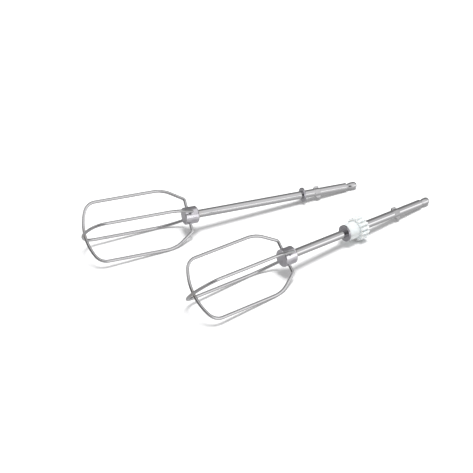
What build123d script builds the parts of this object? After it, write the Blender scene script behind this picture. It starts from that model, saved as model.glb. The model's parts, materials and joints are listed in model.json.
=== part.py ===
"""Two hand-mixer beaters lying side by side: a plain one with a stop ring, and one with a drive gear.

Millimetres, +Z up, resting surface at Z = 0, +X along the plain beater from its basket to its
drive end. The origin is on the resting surface, in the middle of the pair's footprint.

Every distance "along the axis" runs from the crown of the inner wire loop towards the drive end.
"""

import os
from math import atan, atan2, cos, degrees, radians, sin, sqrt, tan

from build123d import *

# Wire basket
WIRE_D = 2.3
BASKET_HALF_WIDTH = 22.5  # axis to the middle of a straight side
CROWN_RADIUS = 38.2  # the shallow arc across the free end
CROWN_CORNER_RADIUS = 10.0
CROWN_STEP = 0.8  # the outer wire stands this far outside the inner; they are welded into each other
SHOULDER_AT = 64.3  # along the axis, where a straight side would meet its sloping run
SHOULDER_BEND = 23.0
NECK_AT = 79.3  # along the axis, where the wire turns in towards the hub
NECK_HALF_WIDTH = 12.6
NECK_BEND = 2.2
WIRE_END_RADIUS = 3.2  # how near to the axis the wire ends come, inside the hub

# Hub
HUB_D = 12.9
HUB_START = 75.5
HUB_LENGTH = 10.7
HUB_FRONT_CHAMFER = 0.5
HUB_BACK_CHAMFER = 1.0
HUB_FLOOR = 2.2  # closed face in front of the rod's end

# Rod, with its drive lugs, detent groove and bulb
ROD_D = 6.0
ROD_CHAMFER = 0.35
LUG_START = 180.4
LUG_LENGTH = 4.3
LUG_RAMP = 1.4
LUG_SPAN = 9.2
LUG_THICKNESS = 2.0
LUG_ROUNDING = 0.5
FLAT_HALF_GAP = 2.88  # axis to the pressed flats between the lugs
SQUEEZED_LENGTH = 4.8  # the stretch of rod the press squeezes, with the lugs in its middle
SWELL_D = 6.4  # across the rod's sides there, where the metal spreads
SWELL_RAMP = 0.3
GROOVE_AT = 207.4
GROOVE_WIDTH = 1.1
GROOVE_D = 4.1
BULB_D = 5.6
BULB_CREST_AT = 212.4  # the bulb swells from the groove to here
BULB_ROUNDING = 2.4
TIP_AT = 215.9

# Stop rings: the geared beater's is as wide as the gear's sleeve, which it carries
PLAIN_RING_D = 10.9
PLAIN_RING_AT = 170.2
GEARED_RING_D = 12.2
GEARED_RING_AT = 133.1
RING_THICKNESS = 1.7
RING_CHAMFER = 0.2

# Drive gear with its sleeve
SLEEVE_D = 12.4
SLEEVE_ROUNDING = 0.4
TEETH_START = 143.4
TEETH_LENGTH = 6.9
TEETH = 16
GEAR_TIP_D = 18.0
GEAR_ROOT_D = 14.6
GEAR_END_CHAMFER = 0.5
TOOTH_TIP_WIDTH = 1.3
TOOTH_ROOT_WIDTH = 2.2
TOOTH_ROUNDING = 0.28

# Ears pressed in the rod under the sleeve, which stop the gear from turning on the rod
KEY_START = 138.0
KEY_LENGTH = 8.0
KEY_SPAN = 8.2
KEY_THICKNESS = 1.6

# How the pair lies
LOOP_ROLL = 45.0  # every basket rests on two neighbouring wires
GEARED_YAW = 15.8
GEARED_OFFSET = (46.4, -104.1)  # from the plain beater's crown to the geared one's, along X and Y


def shoulder_turn():
    """The angle in radians between a straight side of the basket and its sloping run."""
    return atan2(BASKET_HALF_WIDTH - NECK_HALF_WIDTH, NECK_AT - SHOULDER_AT)


def height_on_wires(pitch):
    """Height of the axis at the crown when the basket's lower wires touch the surface."""
    roll = radians(LOOP_ROLL)
    bend_middle = SHOULDER_AT - SHOULDER_BEND * tan(shoulder_turn() / 2)
    touching = atan(tan(pitch) / cos(roll))
    along = bend_middle + SHOULDER_BEND * sin(touching)
    out = BASKET_HALF_WIDTH - SHOULDER_BEND * (1 - cos(touching))
    return WIRE_D / 2 + along * sin(pitch) + out * cos(roll) * cos(pitch)


def height_on_bulb(pitch):
    """Height of the axis at the crown when the bulb at the drive end touches the surface."""
    along = TIP_AT - BULB_ROUNDING
    out = BULB_D / 2 - BULB_ROUNDING
    return BULB_ROUNDING + along * sin(pitch) + out * cos(pitch)


def height_on_gear(pitch):
    """Height of the axis at the crown when the gear's lowest tooth touches the surface."""
    along = TEETH_START + TEETH_LENGTH - GEAR_END_CHAMFER
    return along * sin(pitch) + GEAR_TIP_D / 2 * cos(pitch)


def resting_pitch(geared):
    """The slope in radians at which the wires and the bulb or the gear touch, found by halving."""
    low, high = 0.0, radians(15)
    for _ in range(40):
        middle = (low + high) / 2
        height = height_on_bulb(middle)
        if geared:
            height = max(height, height_on_gear(middle))
        if height_on_wires(middle) > height:
            low = middle
        else:
            high = middle
    return low


def beater_plane(x, y, yaw, geared):
    """A beater's own plane: X along its axis, Y level and to its left, Z up, at its crown."""
    pitch = resting_pitch(geared)
    crown = Location((x, y, height_on_wires(pitch)))
    return Plane(crown * Rotation(Z=yaw) * Rotation(Y=degrees(pitch)))


def rolled(place, angle):
    """The same plane, turned about the beater's axis."""
    return Plane(place.location * Rotation(X=angle))


def axis_of(place):
    """The beater's axis, as an axis to revolve about."""
    return Axis(place.origin, place.x_dir)


def section_at(place, along):
    """The plane square to the beater's axis at a distance along it."""
    origin = place.from_local_coords((along, 0, 0))
    return Plane(origin=origin, x_dir=place.y_dir, z_dir=place.x_dir)


def make_loop(loop_plane, crown_at, welded_to=None):
    """One wire loop in its own plane, open at the hub, sunk at its crown in the loop it is welded to."""
    crown_middle = crown_at + CROWN_RADIUS
    corner_out = BASKET_HALF_WIDTH - CROWN_CORNER_RADIUS
    corner_reach = CROWN_RADIUS - CROWN_CORNER_RADIUS
    corner_at = crown_middle - sqrt(corner_reach**2 - corner_out**2)
    half_crown = atan2(corner_out, crown_middle - corner_at)
    with BuildPart() as loop:
        with BuildLine(loop_plane) as centre_line:
            crown = CenterArc((crown_middle, 0), CROWN_RADIUS, 180, -degrees(half_crown))
            TangentArc(crown @ 1, (corner_at, BASKET_HALF_WIDTH), tangent=crown % 1)
            FilletPolyline(
                (corner_at, BASKET_HALF_WIDTH),
                (SHOULDER_AT, BASKET_HALF_WIDTH),
                (NECK_AT, NECK_HALF_WIDTH),
                (NECK_AT, WIRE_END_RADIUS),
                radius=[SHOULDER_BEND, NECK_BEND],
            )
            mirror(about=Plane(loop_plane.origin, z_dir=loop_plane.y_dir))
        path = centre_line.wire()
        with BuildSketch(Plane(origin=path @ 0, z_dir=path % 0)):
            Circle(WIRE_D / 2)
        sweep(path=path)
        if welded_to:
            add(welded_to.part, mode=Mode.SUBTRACT)
    return loop


def make_rod(place, keyed):
    """The rod from inside the hub to the bulb, with its lugs and, if keyed, its gear ears."""
    rod_start = HUB_START + HUB_FLOOR
    radius = ROD_D / 2
    squeezed_middle = LUG_START + LUG_LENGTH / 2
    squeezed_from = squeezed_middle - SQUEEZED_LENGTH / 2
    squeezed_to = squeezed_middle + SQUEEZED_LENGTH / 2
    with BuildPart() as rod:
        with BuildSketch(place):
            with BuildLine():
                crest = (BULB_CREST_AT, BULB_D / 2)
                outline = Polyline(
                    (rod_start, 0),
                    (rod_start, radius - ROD_CHAMFER),
                    (rod_start + ROD_CHAMFER, radius),
                    (squeezed_from, radius),
                    (squeezed_from + SWELL_RAMP, SWELL_D / 2),
                    (squeezed_to - SWELL_RAMP, SWELL_D / 2),
                    (squeezed_to, radius),
                    (GROOVE_AT - ROD_CHAMFER, radius),
                    (GROOVE_AT, radius - ROD_CHAMFER),
                    (GROOVE_AT, GROOVE_D / 2),
                    (GROOVE_AT + GROOVE_WIDTH, GROOVE_D / 2),
                )
                TangentArc(crest, outline @ 1, tangent=(-1, 0))
                crown = Line(crest, (TIP_AT - BULB_ROUNDING, BULB_D / 2))
                nose = JernArc(crown @ 1, (1, 0), BULB_ROUNDING, -90)
                Polyline(nose @ 1, (TIP_AT, 0), (rod_start, 0))
            make_face()
        revolve(axis=axis_of(place))

        # The lugs are squeezed out of the rod, which leaves a flat on each side and swells the rest.
        with BuildSketch(place):
            with BuildLine():
                Polyline(
                    (LUG_START, 0),
                    (LUG_START, radius - ROD_CHAMFER),
                    (LUG_START + LUG_RAMP, LUG_SPAN / 2),
                    (LUG_START + LUG_LENGTH, LUG_SPAN / 2),
                    (LUG_START + LUG_LENGTH, 0),
                    close=True,
                )
            make_face()
            corners = vertices().filter_by(lambda v: v.Y > radius)
            fillet(corners, LUG_ROUNDING)
            mirror(about=Plane.XZ)
        extrude(amount=LUG_THICKNESS / 2, both=True)
        for side in (1, -1):
            with BuildSketch(place.offset(side * FLAT_HALF_GAP)):
                with Locations((squeezed_middle, 0)):
                    Rectangle(SQUEEZED_LENGTH, SWELL_D)
            extrude(amount=side * SWELL_D, mode=Mode.SUBTRACT)

        if keyed:
            with BuildSketch(place):
                with Locations((KEY_START + KEY_LENGTH / 2, 0)):
                    Rectangle(KEY_LENGTH, KEY_SPAN)
            extrude(amount=KEY_THICKNESS / 2, both=True)
    return rod


def make_hub(place):
    """The turned collar that holds the rod's end and the four wire ends."""
    hub_end = HUB_START + HUB_LENGTH
    radius = HUB_D / 2
    with BuildPart() as hub:
        with BuildSketch(place):
            with BuildLine():
                Polyline(
                    (HUB_START, 0),
                    (HUB_START, radius - HUB_FRONT_CHAMFER),
                    (HUB_START + HUB_FRONT_CHAMFER, radius),
                    (hub_end - HUB_BACK_CHAMFER, radius),
                    (hub_end, radius - HUB_BACK_CHAMFER),
                    (hub_end, 0),
                    close=True,
                )
            make_face()
        revolve(axis=axis_of(place))
        for turn in (0, 90):
            across = rolled(place, turn)
            middle = place.from_local_coords((NECK_AT, 0, 0))
            with BuildSketch(Plane(origin=middle, x_dir=across.x_dir, z_dir=across.y_dir)):
                Circle(WIRE_D / 2)
            extrude(amount=HUB_D, both=True, mode=Mode.SUBTRACT)
        with BuildSketch(place):
            with BuildLine():
                Polyline(
                    (HUB_START + HUB_FLOOR, 0),
                    (HUB_START + HUB_FLOOR, ROD_D / 2),
                    (hub_end, ROD_D / 2),
                    (hub_end, 0),
                    close=True,
                )
            make_face()
        revolve(axis=axis_of(place), mode=Mode.SUBTRACT)
    return hub


def make_ring(place, ring_at, ring_d):
    """The steel ring pressed on the rod."""
    outer = ring_d / 2
    ring_end = ring_at + RING_THICKNESS
    with BuildPart() as ring:
        with BuildSketch(place):
            with BuildLine():
                Polyline(
                    (ring_at, ROD_D / 2),
                    (ring_at, outer - RING_CHAMFER),
                    (ring_at + RING_CHAMFER, outer),
                    (ring_end - RING_CHAMFER, outer),
                    (ring_end, outer - RING_CHAMFER),
                    (ring_end, ROD_D / 2),
                    close=True,
                )
            make_face()
        revolve(axis=axis_of(place))
    return ring


def make_gear(place, rod):
    """The plastic sleeve and spur gear, moulded in one on the keyed rod, from the ring onwards."""
    sleeve_start = GEARED_RING_AT + RING_THICKNESS
    teeth_end = TEETH_START + TEETH_LENGTH
    tip, root = GEAR_TIP_D / 2, GEAR_ROOT_D / 2
    with BuildPart() as gear:
        with BuildSketch(section_at(place, TEETH_START)) as teeth:
            Circle(root)
            with PolarLocations(0, TEETH):
                Polygon(
                    (root - TOOTH_ROUNDING, -TOOTH_ROOT_WIDTH / 2),
                    (tip, -TOOTH_TIP_WIDTH / 2),
                    (tip, TOOTH_TIP_WIDTH / 2),
                    (root - TOOTH_ROUNDING, TOOTH_ROOT_WIDTH / 2),
                    align=None,
                )
            fillet(teeth.vertices(), TOOTH_ROUNDING)
        extrude(amount=TEETH_LENGTH)
        with BuildSketch(place):
            with BuildLine():
                Polyline(
                    (TEETH_START, 0),
                    (TEETH_START, tip - GEAR_END_CHAMFER),
                    (TEETH_START + GEAR_END_CHAMFER, tip),
                    (teeth_end - GEAR_END_CHAMFER, tip),
                    (teeth_end, tip - GEAR_END_CHAMFER),
                    (teeth_end, 0),
                    close=True,
                )
            make_face()
        revolve(axis=axis_of(place), mode=Mode.INTERSECT)
        with BuildSketch(place):
            with BuildLine():
                end_face = Line((sleeve_start, 0), (sleeve_start, SLEEVE_D / 2 - SLEEVE_ROUNDING))
                rounding = JernArc(end_face @ 1, (0, 1), SLEEVE_ROUNDING, -90)
                Polyline(rounding @ 1, (TEETH_START, SLEEVE_D / 2), (TEETH_START, 0), end_face @ 0)
            make_face()
        revolve(axis=axis_of(place))
        add(rod.part, mode=Mode.SUBTRACT)
    return gear


def make_beater(place, name, ring_at, ring_d, geared):
    """Every piece of one beater, by node name."""
    loop_plane = rolled(place, LOOP_ROLL)
    rod = make_rod(loop_plane, keyed=geared)
    inner = make_loop(loop_plane, crown_at=0)
    outer = make_loop(rolled(loop_plane, 90), crown_at=-CROWN_STEP, welded_to=inner)
    pieces = {
        f"{name}_rod": rod,
        f"{name}_hub": make_hub(loop_plane),
        f"{name}_inner_loop": inner,
        f"{name}_outer_loop": outer,
        f"{name}_stop_ring": make_ring(place, ring_at, ring_d),
    }
    if geared:
        pieces[f"{name}_drive_gear"] = make_gear(place, rod)
    return pieces


plain_place = beater_plane(0, 0, 0, geared=False)
geared_place = beater_plane(*GEARED_OFFSET, GEARED_YAW, geared=True)
pieces = make_beater(plain_place, "plain", PLAIN_RING_AT, PLAIN_RING_D, geared=False)
pieces |= make_beater(geared_place, "geared", GEARED_RING_AT, GEARED_RING_D, geared=True)

# The origin goes to the middle of the pair's footprint, on the surface it lies on.
box = Compound([piece.part for piece in pieces.values()]).bounding_box()
to_origin = Location((-box.center().X, -box.center().Y, 0))

os.makedirs("parts", exist_ok=True)
for name, piece in pieces.items():
    piece.part.move(to_origin)
    piece.part.label = name
    export_step(piece.part, f"parts/{name}.step")
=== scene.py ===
"""Looks of the pair of hand-mixer beaters: materials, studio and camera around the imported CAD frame.

Metres, in the CAD model's own frame: +Z up, resting surface at Z = 0, +X along the plain beater from
its basket to its drive end. A beater's own coordinates run from the crown of its inner wire loop:
X along its axis towards the drive end, Y level and to its left, Z up.
"""

import json
from math import cos, pi, radians, sin, sqrt, tan

import bmesh
import bpy
from mathutils import Matrix, Vector


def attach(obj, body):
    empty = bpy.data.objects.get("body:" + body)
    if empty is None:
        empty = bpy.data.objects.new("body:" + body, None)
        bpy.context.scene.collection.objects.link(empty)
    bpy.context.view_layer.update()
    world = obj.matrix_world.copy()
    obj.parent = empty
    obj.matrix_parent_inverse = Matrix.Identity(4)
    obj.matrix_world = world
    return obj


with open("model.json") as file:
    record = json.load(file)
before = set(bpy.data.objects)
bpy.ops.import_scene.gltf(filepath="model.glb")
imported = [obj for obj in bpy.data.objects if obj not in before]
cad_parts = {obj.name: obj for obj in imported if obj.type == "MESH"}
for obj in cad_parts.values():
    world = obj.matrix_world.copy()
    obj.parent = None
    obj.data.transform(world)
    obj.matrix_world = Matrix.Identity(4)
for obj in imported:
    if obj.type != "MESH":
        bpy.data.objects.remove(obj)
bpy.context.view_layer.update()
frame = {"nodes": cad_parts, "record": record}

MM = 0.001
SHANK_MIDDLE = 196.0 * MM  # from the crown to the middle of the drive shank, along the axis


# --- Where the two beaters lie ------------------------------------------------------------------

def beater_place(name):
    """The matrix from a beater's own coordinates to the frame's, from its shank mount."""
    mount = next(m for m in frame["record"]["mounts"] if m["name"] == f"{name}_shank")
    along = Vector(mount["axis"]).normalized()
    level = Vector((0, 0, 1)).cross(along).normalized()
    turn = Matrix((along, level, along.cross(level))).transposed()
    crown = Vector(mount["pos_m"]) - along * SHANK_MIDDLE
    return Matrix.Translation(crown) @ turn.to_4x4()


PLACES = {name: beater_place(name) for name in ("plain", "geared")}


# --- Shader nodes -------------------------------------------------------------------------------

def put(tree, value, socket):
    """Links an output to a socket, or sets the socket to a plain value."""
    if isinstance(value, bpy.types.NodeSocket):
        tree.links.new(value, socket)
    else:
        socket.default_value = value


def add(tree, kind, inputs=None, **settings):
    """A new node with its settings and its inputs, by name or by number."""
    node = tree.nodes.new(f"ShaderNode{kind}")
    for name, value in settings.items():
        setattr(node, name, value)
    for name, value in (inputs or {}).items():
        put(tree, value, node.inputs[name])
    return node


def maths(tree, operation, *values):
    node = add(tree, "Math", dict(enumerate(values)), operation=operation)
    return node.outputs["Value"]


def vector_maths(tree, operation, *values):
    node = add(tree, "VectorMath", dict(enumerate(values)), operation=operation)
    return node.outputs["Value" if operation in ("DOT_PRODUCT", "LENGTH") else "Vector"]


def smooth(tree, value, start, end, low=0.0, high=1.0):
    """Goes smoothly from low to high as value goes from start to end."""
    inputs = {"Value": value, "From Min": start, "From Max": end, "To Min": low, "To Max": high}
    return add(tree, "MapRange", inputs, interpolation_type="SMOOTHSTEP").outputs["Result"]


# --- Studio -------------------------------------------------------------------------------------

CAMERA_PLACE = (-0.2992, -0.8230, 0.5957)
CAMERA_HEADING = (-19.1, 34.466)  # azimuth and elevation of the camera from what it looks at
CAMERA_ROLL = -4.51  # degrees
CAMERA_LENS = 110.92  # mm, on the sensor below
CAMERA_SENSOR = 36
CAMERA_SHIFT = (-0.0411, 0.0454)
CAMERA_CLIP = (0.05, 50)
FLOOR_HALF_SIDE = 6.0
FLOOR_COLOUR = (0.93, 0.93, 0.935)
FILL_LEVEL = 0.6  # of the even light all round on the floor and the plastic
KEY_HEADING = (50, 81)
KEY_ENERGY = 2.86
KEY_SOFTNESS = 27  # how wide the light stands in the sky, in degrees


def heading(azimuth, elevation):
    """A unit vector. Azimuth 0 is the near side, -Y, and 90 the +X side; both in degrees."""
    a, e = radians(azimuth), radians(elevation)
    return Vector((sin(a) * cos(e), -cos(a) * cos(e), sin(e)))


def make_camera():
    """A long lens from the near side and above."""
    data = bpy.data.cameras.new("camera")
    camera = bpy.data.objects.new("camera", data)
    bpy.context.scene.collection.objects.link(camera)
    data.lens = CAMERA_LENS
    data.sensor_width = CAMERA_SENSOR
    data.shift_x, data.shift_y = CAMERA_SHIFT
    data.clip_start, data.clip_end = CAMERA_CLIP
    forward = -heading(*CAMERA_HEADING)
    right = forward.cross(Vector((0, 0, 1))).normalized()
    up = right.cross(forward)
    upright = Matrix((right, up, -forward)).transposed().to_4x4()
    roll = Matrix.Rotation(radians(CAMERA_ROLL), 4, "Z")
    camera.matrix_world = Matrix.Translation(CAMERA_PLACE) @ upright @ roll
    bpy.context.scene.camera = camera


def make_floor():
    """A large pale floor, plain all over."""
    side = FLOOR_HALF_SIDE
    mesh = bpy.data.meshes.new("floor")
    corners = [(-side, -side, 0), (side, -side, 0), (side, side, 0), (-side, side, 0)]
    mesh.from_pydata(corners, [], [(0, 1, 2, 3)])
    floor = bpy.data.objects.new("floor", mesh)
    bpy.context.scene.collection.objects.link(floor)
    material = bpy.data.materials.new("floor_white")
    material.use_nodes = True
    shader = material.node_tree.nodes["Principled BSDF"]
    shader.inputs["Base Color"].default_value = (*FLOOR_COLOUR, 1)
    shader.inputs["Roughness"].default_value = 1.0
    shader.inputs["Specular IOR Level"].default_value = 0.0
    mesh.materials.append(material)
    floor.visible_glossy = False


def lobe(tree, direction, azimuth, elevation, start, end, level):
    """A patch of light in the surroundings: full within start degrees of its middle, none past end."""
    nearness = vector_maths(tree, "DOT_PRODUCT", direction, heading(azimuth, elevation))
    return smooth(tree, nearness, cos(radians(end)), cos(radians(start)), 0.0, level)


def panel(tree, direction, azimuth, elevation, half_width, half_height, edge, level):
    """A rectangular panel of light in the surroundings, its sizes and soft edge in degrees."""
    toward = heading(azimuth, elevation)
    right = toward.cross(Vector((0, 0, 1))).normalized()
    up = right.cross(toward)
    just_ahead = 0.001
    depth = maths(tree, "MAXIMUM", vector_maths(tree, "DOT_PRODUCT", direction, toward), just_ahead)
    light = level
    for side, half in ((right, half_width), (up, half_height)):
        offset = vector_maths(tree, "DOT_PRODUCT", direction, side)
        offset = maths(tree, "ABSOLUTE", maths(tree, "DIVIDE", offset, depth))
        reach = tan(radians(half + edge))
        inside = smooth(tree, offset, tan(radians(half)), reach, low=1.0, high=0.0)
        light = maths(tree, "MULTIPLY", light, inside)
    return light


def make_world():
    """What bright metal shows: a low panel at the right front, a softer one overhead, and a dim left
    with a small light behind it.

    The floor and the plastic are lit by an even fill instead, so that shadows on the floor stay clear.
    """
    world = bpy.data.worlds.new("studio")
    world.use_nodes = True
    bpy.context.scene.world = world
    tree = world.node_tree
    direction = add(tree, "TexCoord").outputs["Generated"]
    parts = add(tree, "SeparateXYZ", {0: direction}).outputs
    height = parts["Z"]

    dim_all_round, floor_all_round = 0.17, 0.52
    right_wall = lobe(tree, direction, azimuth=90, elevation=45, start=20, end=110, level=0.16)
    above = maths(tree, "ADD", right_wall, dim_all_round)
    clear_of_left = maths(tree, "MAXIMUM", smooth(tree, parts["X"], start=-0.08, end=0.22),
                          smooth(tree, height, start=0.72, end=0.88))
    ceiling = lobe(tree, direction, azimuth=25, elevation=60, start=15, end=62, level=0.75)
    above = maths(tree, "ADD", above, maths(tree, "MULTIPLY", ceiling, clear_of_left))
    back_light = lobe(tree, direction, azimuth=-125, elevation=30, start=8, end=42, level=0.7)
    above = maths(tree, "ADD", above, back_light)
    front_panel = panel(tree, direction, azimuth=45, elevation=7, half_width=30, half_height=9,
                        edge=13, level=1.45)
    above = maths(tree, "ADD", above, front_panel)

    towards_edge = smooth(tree, height, start=-0.77, end=0.0, low=0.0, high=0.5)
    right_front = lobe(tree, direction, azimuth=45, elevation=0, start=50, end=130, level=1.0)
    floor_glow = maths(tree, "MULTIPLY", towards_edge, right_front)
    near_floor = lobe(tree, direction, azimuth=40, elevation=-30, start=30, end=110, level=0.1)
    below = maths(tree, "ADD", near_floor, floor_all_round)
    below = maths(tree, "ADD", below, floor_glow)
    underside = smooth(tree, height, start=0.0, end=-0.26)
    metal_sees = maths(tree, "ADD", maths(tree, "MULTIPLY", below, underside),
                       maths(tree, "MULTIPLY", above, maths(tree, "SUBTRACT", 1.0, underside)))

    ray = add(tree, "LightPath").outputs
    others_see = maths(tree, "MAXIMUM", ray["Is Camera Ray"], FILL_LEVEL)
    level = add(tree, "Mix", {"Factor": ray["Is Glossy Ray"], "A": others_see, "B": metal_sees})
    put(tree, level.outputs["Result"], tree.nodes["Background"].inputs["Strength"])
    tree.nodes["Background"].inputs["Color"].default_value = (1, 1, 1, 1)


def make_key():
    """A soft light overhead, for the floor and its shadows. Bright metal doesn't show it."""
    data = bpy.data.lights.new("key", "SUN")
    data.energy = KEY_ENERGY
    data.angle = radians(KEY_SOFTNESS)
    key = bpy.data.objects.new("key", data)
    key.rotation_euler = heading(*KEY_HEADING).to_track_quat("Z", "Y").to_euler()
    key.visible_glossy = False
    bpy.context.scene.collection.objects.link(key)


make_camera()
make_floor()
make_world()
make_key()
bpy.context.scene.view_settings.view_transform = "Standard"


# --- Materials ----------------------------------------------------------------------------------

HUB = (75.5 * MM, 86.2 * MM)  # start and end from the crown, along the axis, as are the next two
GROOVE = (207.1 * MM, 208.9 * MM)  # these two with a little of the rod on both sides
LUGS = (180.1 * MM, 185.0 * MM)
WELD_CORE = 2.5 * MM  # where the weld at the crown has tinted the wires fully, and how far it reaches
WELD_REACH = 7.0 * MM
SCUFFED_CROWN = (2 * MM, 14 * MM)  # worn fully before the first and not at all after the second
HEATED_LENGTH = 5 * MM  # of the rod behind the hub, from brazing
STEEL_RELIEF = 0.004 * MM  # how high the marks on rods and wires stand
HUB_RELIEF = 0.003 * MM
RING_RELIEF = 0.008 * MM
PLASTIC_RELIEF = 0.012 * MM
LIGHT_REACH = 4.0 * MM  # how far light goes into the plastic
BRIGHT_ROUGHNESS = (0.06, 0.17)  # of rods and wires, clean and handled

ROD_COLOURS = ((0.525, 0.52, 0.53), (0.56, 0.555, 0.565))
WIRE_COLOURS = ((0.52, 0.515, 0.525), (0.56, 0.555, 0.565))
HUB_COLOURS = ((0.54, 0.52, 0.56), (0.63, 0.615, 0.65))
RING_COLOURS = ((0.34, 0.33, 0.36), (0.42, 0.41, 0.44))
BRAZING_TINT = (0.5, 0.475, 0.455)
WELD_TINT = (0.46, 0.43, 0.41)
RUBBED_STEEL = (0.47, 0.46, 0.46)
PLASTIC_COLOURS = ((0.66, 0.69, 0.695), (0.71, 0.74, 0.74))
GRIMY_PLASTIC = (0.61, 0.62, 0.605)
PLASTIC_SCATTER = (1.0, 0.95, 0.9)  # red goes furthest in

MIX_COLOUR_A, MIX_COLOUR_B = 6, 7  # the Mix node's colour sockets, which share their names with others
MIX_COLOUR_RESULT = 2


def beater_coordinates(tree, name):
    """Shader coordinates in a beater's own frame, in metres, along its axis and from it."""
    inverse = PLACES[name].inverted()
    place = add(tree, "Mapping", {"Vector": add(tree, "TexCoord").outputs["Object"]})
    place.inputs["Location"].default_value = inverse.to_translation()
    place.inputs["Rotation"].default_value = inverse.to_euler()
    return place.outputs["Vector"]


def new_material(name):
    """A material with nodes: its tree and its shader come with it."""
    material = bpy.data.materials.new(name)
    material.use_nodes = True
    return material, material.node_tree, material.node_tree.nodes["Principled BSDF"]


def noise(tree, vector, scale, detail=3.0, roughness=0.55):
    """Soft noise from 0 to 1, scale in cells per metre."""
    inputs = {"Vector": vector, "Scale": scale, "Detail": detail, "Roughness": roughness}
    return add(tree, "TexNoise", inputs).outputs["Fac"]


def stretched(tree, vector, factors):
    return vector_maths(tree, "MULTIPLY", vector, factors)


def mixed_colour(tree, factor, first, second):
    node = add(tree, "Mix", {"Factor": factor}, data_type="RGBA")
    for number, value in ((MIX_COLOUR_A, first), (MIX_COLOUR_B, second)):
        value = value if isinstance(value, bpy.types.NodeSocket) else (*value, 1)
        put(tree, value, node.inputs[number])
    return node.outputs[MIX_COLOUR_RESULT]


def blended(tree, factor, first, second):
    return add(tree, "Mix", {"Factor": factor, "A": first, "B": second}).outputs["Result"]


def bump(tree, height, depth):
    """Bump whose height, from 0 to 1, stands for depth in metres."""
    inputs = {"Height": height, "Distance": depth, "Strength": 1.0}
    return add(tree, "Bump", inputs).outputs["Normal"]


def band(tree, along, start, end, edge):
    """1 between two distances along the axis and 0 outside them."""
    rise = smooth(tree, along, start - edge, start)
    fall = smooth(tree, along, end, end + edge, low=1.0, high=0.0)
    return maths(tree, "MULTIPLY", rise, fall)


def finish_steel(tree, shader, colour, roughness, normal):
    """Sets a steel's colour, roughness and bump on its shader."""
    shader.inputs["Metallic"].default_value = 1
    put(tree, colour, shader.inputs["Base Color"])
    put(tree, roughness, shader.inputs["Roughness"])
    put(tree, normal, shader.inputs["Normal"])


def handled(tree, place, low, high):
    """Roughness of plated steel that has been washed and handled: cloudy patches and fine specks."""
    clouds = smooth(tree, noise(tree, place, scale=90, detail=4), 0.38, 0.72)
    specks = smooth(tree, noise(tree, place, scale=1500, detail=2), 0.56, 0.75)
    level = maths(tree, "ADD", maths(tree, "MULTIPLY", clouds, 0.7), maths(tree, "MULTIPLY", specks, 0.3))
    return smooth(tree, level, 0.0, 1.0, low, high)


def scratches(tree, place, factors, level):
    """Thin scratches as roughness: the crests of a noise stretched by the factors."""
    crests = noise(tree, stretched(tree, place, factors), scale=1, detail=2, roughness=0.4)
    from_crest = maths(tree, "ABSOLUTE", maths(tree, "SUBTRACT", crests, 0.5))
    thin = smooth(tree, from_crest, 0.0, 0.012, low=1.0, high=0.0)
    patches = smooth(tree, noise(tree, place, scale=160, detail=2), 0.45, 0.62)
    return maths(tree, "MULTIPLY", maths(tree, "MULTIPLY", thin, patches), level)


def rod_steel(name):
    """Bright drawn rod: fine lines along it, turned rings at its end, and rubbing on lugs and groove."""
    material, tree, shader = new_material(f"{name}_rod_steel")
    place = beater_coordinates(tree, name)
    along = add(tree, "SeparateXYZ", {0: place}).outputs["X"]
    drawn = noise(tree, stretched(tree, place, (25, 2600, 2600)), scale=1, detail=3)
    rings = noise(tree, stretched(tree, place, (5200, 60, 60)), scale=1, detail=2)
    rings = maths(tree, "MULTIPLY", rings, 0.3)
    turned = smooth(tree, along, GROOVE[0] - 0.4 * MM, GROOVE[0])
    lines = blended(tree, turned, drawn, rings)
    pressed = band(tree, along, *LUGS, 0.6 * MM)
    dents = noise(tree, place, scale=700, detail=2)
    relief = blended(tree, pressed, lines, maths(tree, "MULTIPLY", dents, 3.0))
    rubbed = maths(tree, "MAXIMUM", pressed, band(tree, along, *GROOVE, 0.5 * MM))
    scuffs = smooth(tree, noise(tree, stretched(tree, place, (900, 250, 250)), scale=1, detail=4), 0.5, 0.7)
    wear = maths(tree, "MULTIPLY", rubbed, scuffs)
    roughness = handled(tree, place, *BRIGHT_ROUGHNESS)
    roughness = maths(tree, "ADD", roughness, maths(tree, "MULTIPLY", wear, 0.16))
    scratched = scratches(tree, place, factors=(90, 420, 420), level=0.2)
    roughness = maths(tree, "ADD", roughness, scratched)
    roughness = maths(tree, "ADD", roughness, maths(tree, "MULTIPLY", turned, 0.1))
    heated = band(tree, along, HUB[1], HUB[1] + 0.3 * MM, HEATED_LENGTH)
    colour = mixed_colour(tree, drawn, *ROD_COLOURS)
    colour = mixed_colour(tree, maths(tree, "MULTIPLY", heated, 0.5), colour, BRAZING_TINT)
    colour = mixed_colour(tree, maths(tree, "MULTIPLY", wear, 0.6), colour, RUBBED_STEEL)
    finish_steel(tree, shader, colour, roughness, bump(tree, relief, STEEL_RELIEF))
    return material


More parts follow.
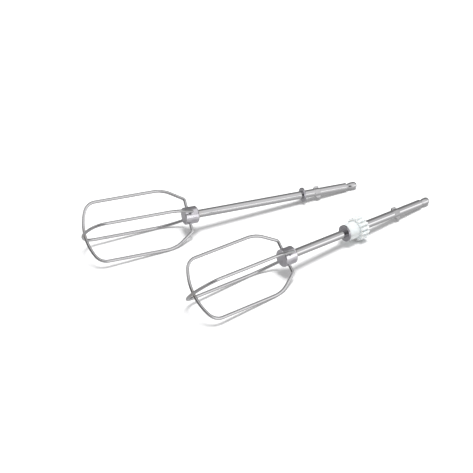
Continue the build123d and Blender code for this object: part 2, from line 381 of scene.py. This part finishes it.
def wire_steel(name):
    """Bright wire: cloudy gloss, a heat tint at the crown's weld, and the crown scuffed by bowls."""
    material, tree, shader = new_material(f"{name}_wire_steel")
    place = beater_coordinates(tree, name)
    along = add(tree, "SeparateXYZ", {0: place}).outputs["X"]
    from_weld = vector_maths(tree, "LENGTH", place)
    ragged = maths(tree, "MULTIPLY", noise(tree, place, scale=900, detail=2), 2 * MM)
    tint = smooth(tree, maths(tree, "ADD", from_weld, ragged), WELD_CORE, WELD_REACH, low=1.0, high=0.0)
    dragged = noise(tree, stretched(tree, place, (400, 1300, 1300)), scale=1, detail=4)
    scuffs = smooth(tree, dragged, 0.48, 0.68)
    wear = maths(tree, "MULTIPLY", scuffs, smooth(tree, along, *SCUFFED_CROWN, low=1.0, high=0.0))
    clouds = noise(tree, place, scale=120, detail=4)
    colour = mixed_colour(tree, clouds, *WIRE_COLOURS)
    colour = mixed_colour(tree, maths(tree, "MULTIPLY", tint, 0.65), colour, WELD_TINT)
    roughness = handled(tree, place, *BRIGHT_ROUGHNESS)
    roughness = maths(tree, "ADD", roughness, maths(tree, "MULTIPLY", wear, 0.12))
    fine = noise(tree, place, scale=2200, detail=2)
    relief = maths(tree, "ADD", fine, maths(tree, "MULTIPLY", wear, 0.8))
    finish_steel(tree, shader, colour, roughness, bump(tree, relief, STEEL_RELIEF))
    return material


def turned_steel(name, piece, colours, roughness_range, lathe_marks, dull_face=None):
    """Turned steel: rings round the sides and on the faces, from a lathe, under a washed surface.

    Colours are the stained and the clean one, and roughness_range goes from clean to handled.
    The face before dull_face along the axis is left as it was cut off, duller than the sides.
    """
    dark, bright = colours
    material, tree, shader = new_material(f"{name}_{piece}_steel")
    place = beater_coordinates(tree, name)
    parts = add(tree, "SeparateXYZ", {0: place}).outputs
    across = add(tree, "CombineXYZ", {"Y": parts["Y"], "Z": parts["Z"]}).outputs["Vector"]
    radius = vector_maths(tree, "LENGTH", across)
    lathe = add(tree, "CombineXYZ", {"X": parts["X"], "Y": radius}).outputs["Vector"]
    rings = noise(tree, lathe, scale=3200, detail=3, roughness=0.7)
    broad = noise(tree, lathe, scale=700, detail=2)
    stains = smooth(tree, noise(tree, place, scale=260, detail=5), 0.42, 0.7)
    colour = mixed_colour(tree, stains, bright, dark)
    roughness = handled(tree, place, *roughness_range)
    roughness = maths(tree, "ADD", roughness, maths(tree, "MULTIPLY", rings, 0.08))
    scratched = scratches(tree, place, factors=(300, 300, 300), level=0.15)
    roughness = maths(tree, "ADD", roughness, scratched)
    if dull_face:
        dull = smooth(tree, parts["X"], dull_face, dull_face + 0.3 * MM, low=0.24, high=0.0)
        roughness = maths(tree, "ADD", roughness, dull)
    relief = maths(tree, "ADD", rings, maths(tree, "MULTIPLY", broad, 0.7))
    finish_steel(tree, shader, colour, roughness, bump(tree, relief, lathe_marks))
    return material


def gear_plastic(name, beater, light_inside):
    """White moulded plastic: some light goes in, a fine grain, faint flow clouds, a little grime.

    light_inside is the share of the light that goes in, none for marks thinner than its reach.
    """
    material, tree, shader = new_material(name)
    place = beater_coordinates(tree, beater)
    flow = noise(tree, stretched(tree, place, (60, 160, 160)), scale=1, detail=4)
    grain = noise(tree, place, scale=5200, detail=2)
    grime = smooth(tree, noise(tree, place, scale=480, detail=4), 0.55, 0.75)
    colour = mixed_colour(tree, flow, *PLASTIC_COLOURS)
    colour = mixed_colour(tree, maths(tree, "MULTIPLY", grime, 0.35), colour, GRIMY_PLASTIC)
    put(tree, colour, shader.inputs["Base Color"])
    gloss = smooth(tree, flow, start=0.3, end=0.7, low=0.34, high=0.46)
    roughness = maths(tree, "ADD", gloss, maths(tree, "MULTIPLY", grime, 0.1))
    put(tree, roughness, shader.inputs["Roughness"])
    shader.inputs["Subsurface Weight"].default_value = light_inside
    shader.inputs["Subsurface Radius"].default_value = PLASTIC_SCATTER
    shader.inputs["Subsurface Scale"].default_value = LIGHT_REACH
    put(tree, bump(tree, grain, PLASTIC_RELIEF), shader.inputs["Normal"])
    return material


def beater_looks(name):
    """The materials of one beater's pieces."""
    wire = wire_steel(name)
    hub = turned_steel(name, "hub", HUB_COLOURS, roughness_range=(0.07, 0.13), lathe_marks=HUB_RELIEF,
                       dull_face=HUB[0] + 0.05 * MM)
    ring = turned_steel(name, "ring", RING_COLOURS, roughness_range=(0.16, 0.26),
                        lathe_marks=RING_RELIEF)
    return {"rod": rod_steel(name), "hub": hub, "inner_loop": wire, "outer_loop": wire, "stop_ring": ring}


LOOKS = {name: beater_looks(name) for name in PLACES}
LOOKS["geared"]["drive_gear"] = gear_plastic("gear_plastic", "geared", light_inside=0.85)
LOOKS["geared"]["marks"] = gear_plastic("gear_marks_plastic", "geared", light_inside=0.0)
for node_name, node in frame["nodes"].items():
    beater, piece = node_name.split("_", 1)
    for slot in node.material_slots:
        slot.material = LOOKS[beater][piece]


# --- Joining metal and moulding marks, as pieces that ride on the beaters --------------------------

HUB_RADIUS = 6.45 * MM
ROD_RADIUS = 3.0 * MM
WIRE_RADIUS = 1.15 * MM
NECK_AT = 79.3 * MM  # where the wires go into the hub, along the axis
LOOP_ROLL = 45  # degrees, from level to the first wire
CROWN_STEP = 0.8 * MM  # between the two wires' middles where they cross
GEAR_BACK = 150.3 * MM
SLEEVE = (134.8 * MM, 143.4 * MM)
SLEEVE_RADIUS = 6.2 * MM
SUNK = 0.1 * MM  # how deep these pieces go into what they sit on
WIRE_BRAZE_WIDTH = 0.4 * MM
ROD_BRAZE_WIDTH = 0.45 * MM
WELD_HALF_LENGTH = 0.85 * MM
WELD_HALF_WIDTH = 1.75 * MM
PARTING_LINE = (0.09 * MM, 0.05 * MM)  # half its width, and its height
GATE_OFF_AXIS = 5.2 * MM
GATE_TURN = 60  # degrees
ROUND_STEPS = 32
FILLET_STEPS = 5
WELD_LAYERS = 10


def shell(name, rings, wrap):
    """A closed mesh through rings of points. Wrap joins the last ring to the first, or else both
    ends are capped."""
    count = len(rings[0])
    points = [point for ring in rings for point in ring]
    pairs = [(k, k + 1) for k in range(len(rings) - 1)]
    caps = [range(count), range(len(points) - count, len(points))]
    if wrap:
        pairs.append((len(rings) - 1, 0))
        caps = []
    faces = [tuple(cap) for cap in caps]
    for first, second in pairs:
        for k in range(count):
            after = (k + 1) % count
            faces.append((first * count + k, first * count + after,
                          second * count + after, second * count + k))
    mesh = bpy.data.meshes.new(name)
    mesh.from_pydata(points, [], faces)
    return mesh


def add_piece(mesh, beater, turn, material):
    """Puts a mesh given in a beater's coordinates in the scene, turned about the axis, to ride on it."""
    solid = bmesh.new()
    solid.from_mesh(mesh)
    bmesh.ops.recalc_face_normals(solid, faces=solid.faces)
    solid.transform(PLACES[beater] @ Matrix.Rotation(radians(turn), 4, "X"))
    solid.to_mesh(mesh)
    solid.free()
    mesh.shade_smooth()
    mesh.materials.append(material)
    piece = bpy.data.objects.new(mesh.name, mesh)
    bpy.context.scene.collection.objects.link(piece)
    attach(piece, f"{beater}_beater")


def hollow_fillet(width):
    """A fillet's section as (out, up) pairs from the foot of what stands up: hollow, then closed below."""
    section = []
    for k in range(FILLET_STEPS + 1):
        angle = pi / 2 * k / FILLET_STEPS
        section.append((width * (1 - sin(angle)), width * (1 - cos(angle))))
    return section + [(-SUNK, width), (-SUNK, -SUNK), (width, -SUNK)]


def add_wire_fillets(beater):
    """Braze round each wire where it goes into the hub's side."""
    for number in range(4):
        rings = []
        for out, up in hollow_fillet(WIRE_BRAZE_WIDTH):
            ring = []
            for k in range(ROUND_STEPS):
                angle = 2 * pi * k / ROUND_STEPS
                reach = WIRE_RADIUS + out
                side = reach * sin(angle)
                ring.append((NECK_AT + reach * cos(angle), sqrt(HUB_RADIUS**2 - side**2) + up, side))
            rings.append(ring)
        mesh = shell(f"{beater}_wire_braze_{number + 1}", rings, wrap=True)
        add_piece(mesh, beater, LOOP_ROLL + 90 * number, LOOKS[beater]["hub"])


def add_rod_fillet(beater):
    """Braze round the rod where it leaves the hub's back face."""
    rings = []
    for out, up in hollow_fillet(ROD_BRAZE_WIDTH):
        ring = []
        for k in range(ROUND_STEPS):
            angle = 2 * pi * k / ROUND_STEPS
            reach = ROD_RADIUS + out
            ring.append((HUB[1] + up, reach * cos(angle), reach * sin(angle)))
        rings.append(ring)
    mesh = shell(f"{beater}_rod_braze", rings, wrap=True)
    add_piece(mesh, beater, 0, LOOKS[beater]["hub"])


def add_crown_weld(beater):
    """The nugget squeezed out between the two wires where they are welded at the crown."""
    rings = []
    for layer in range(1, WELD_LAYERS):
        slant = pi * layer / WELD_LAYERS
        along = -CROWN_STEP / 2 - WELD_HALF_LENGTH * cos(slant)
        ring = []
        for k in range(ROUND_STEPS):
            angle = 2 * pi * k / ROUND_STEPS
            squeezed = 1 + 0.1 * sin(2 * angle) ** 2 + 0.03 * sin(5 * angle + 1)
            reach = WELD_HALF_WIDTH * sin(slant) * squeezed
            ring.append((along, reach * cos(angle), reach * sin(angle)))
        rings.append(ring)
    mesh = shell(f"{beater}_crown_weld", rings, wrap=False)
    add_piece(mesh, beater, LOOP_ROLL, LOOKS[beater]["inner_loop"])


def add_parting_lines():
    """The mould's parting line, a hair of plastic along each side of the gear's sleeve."""
    width, height = PARTING_LINE
    for number in range(2):
        rings = []
        for along in (SLEEVE[0] + 0.5 * MM, SLEEVE[1] + SUNK):
            section = ((-width, -SUNK), (-width, 0), (0, height), (width, 0), (width, -SUNK))
            rings.append([(along, SLEEVE_RADIUS + up, across) for across, up in section])
        mesh = shell(f"geared_parting_line_{number + 1}", rings, wrap=False)
        add_piece(mesh, "geared", 180 * number, LOOKS["geared"]["marks"])


def add_gate_mark():
    """The little crater left on the gear's back face where the mould was filled.

    Its section is (out, up) pairs in mm, from its rim's foot to the crater's bottom.
    """
    section = ((0.75, -0.1), (0.75, 0.04), (0.68, 0.12), (0.5, 0.14), (0.32, 0.08), (0.12, 0.05))
    rings = []
    for reach, up in section:
        ring = []
        for k in range(ROUND_STEPS):
            angle = 2 * pi * k / ROUND_STEPS
            across, level = reach * MM * cos(angle), reach * MM * sin(angle)
            ring.append((GEAR_BACK + up * MM, GATE_OFF_AXIS + across, level))
        rings.append(ring)
    mesh = shell("geared_gate_mark", rings, wrap=False)
    add_piece(mesh, "geared", GATE_TURN, LOOKS["geared"]["marks"])


for beater_name in PLACES:
    add_wire_fillets(beater_name)
    add_rod_fillet(beater_name)
    add_crown_weld(beater_name)
add_parting_lines()
add_gate_mark()
